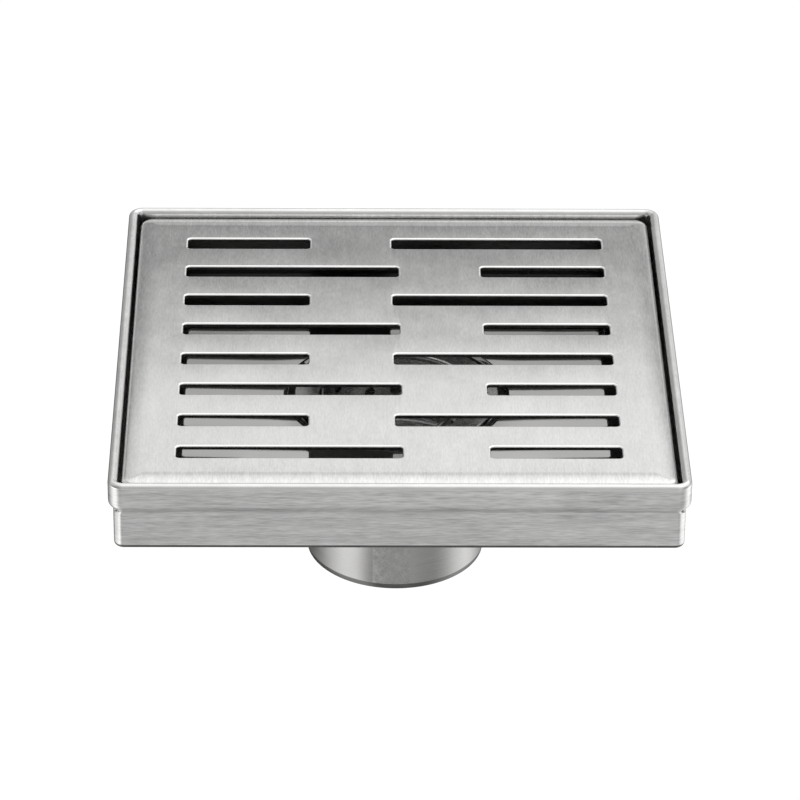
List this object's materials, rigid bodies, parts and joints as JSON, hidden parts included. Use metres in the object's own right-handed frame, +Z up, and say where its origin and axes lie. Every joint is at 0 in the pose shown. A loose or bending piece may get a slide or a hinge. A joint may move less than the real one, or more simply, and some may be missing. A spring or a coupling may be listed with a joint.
{
  "type": "floor drain",
  "caption": "Square shower floor drain: folded steel tray with outlet pipe, slotted lift-out grate on rubber feet, and a perforated hair strainer with a wire bail.",
  "frame": {"origin": "centre of the outlet pipe's lower end, on the plane that the part stands on", "axes": "+Z up out of the floor, +X along the slots, +Y to the rear"},
  "size_m": [0.1524, 0.1524, 0.0655],
  "materials": {
    "tray_steel": "satin stainless steel, brushed along each wall, smooth mill finish inside",
    "weld_steel": "cleaned stainless weld bead",
    "pipe_steel": "satin welded stainless tube",
    "grate_steel": "brushed stainless steel, grain from front to back",
    "leg_steel": "mill finish stainless steel",
    "foot_rubber": "matt black rubber",
    "strainer_steel": "bright pressed stainless steel",
    "wire_steel": "bright stainless wire"
  },
  "bodies": {
    "tray": {"tray_pan": "tray_steel", "corner_weld_front_left": "weld_steel", "corner_weld_front_right": "weld_steel", "corner_weld_rear_left": "weld_steel", "corner_weld_rear_right": "weld_steel", "outlet_pipe": "pipe_steel", "pipe_weld_ring": "weld_steel"},
    "grate": {"grate_plate": "grate_steel", "grate_leg_front_left": "leg_steel", "grate_leg_front_right": "leg_steel", "grate_leg_rear_left": "leg_steel", "grate_leg_rear_right": "leg_steel", "grate_foot_front_left": "foot_rubber", "grate_foot_front_right": "foot_rubber", "grate_foot_rear_left": "foot_rubber", "grate_foot_rear_right": "foot_rubber"},
    "strainer": {"strainer_cup": "strainer_steel", "bail_ear_left": "strainer_steel", "bail_ear_right": "strainer_steel"},
    "bail": {"strainer_bail": "wire_steel"}
  },
  "joints": [
    {"name": "grate_lift", "type": "slide", "parent": "tray", "child": "grate", "axis": [0, 0, 1], "range_m": [0, 0.1]},
    {"name": "strainer_lift", "type": "slide", "parent": "tray", "child": "strainer", "axis": [0, 0, 1], "range_m": [0, 0.06]},
    {"name": "bail_swing", "type": "hinge", "parent": "strainer", "child": "bail", "pos_m": [0, 0, 0.0462], "axis": [1, 0, 0], "range_deg": [-180, 180]}
  ],
  "couplings": [
    {"joint": "strainer_lift", "follows": "grate_lift", "ratio": 0.6}
  ]
}
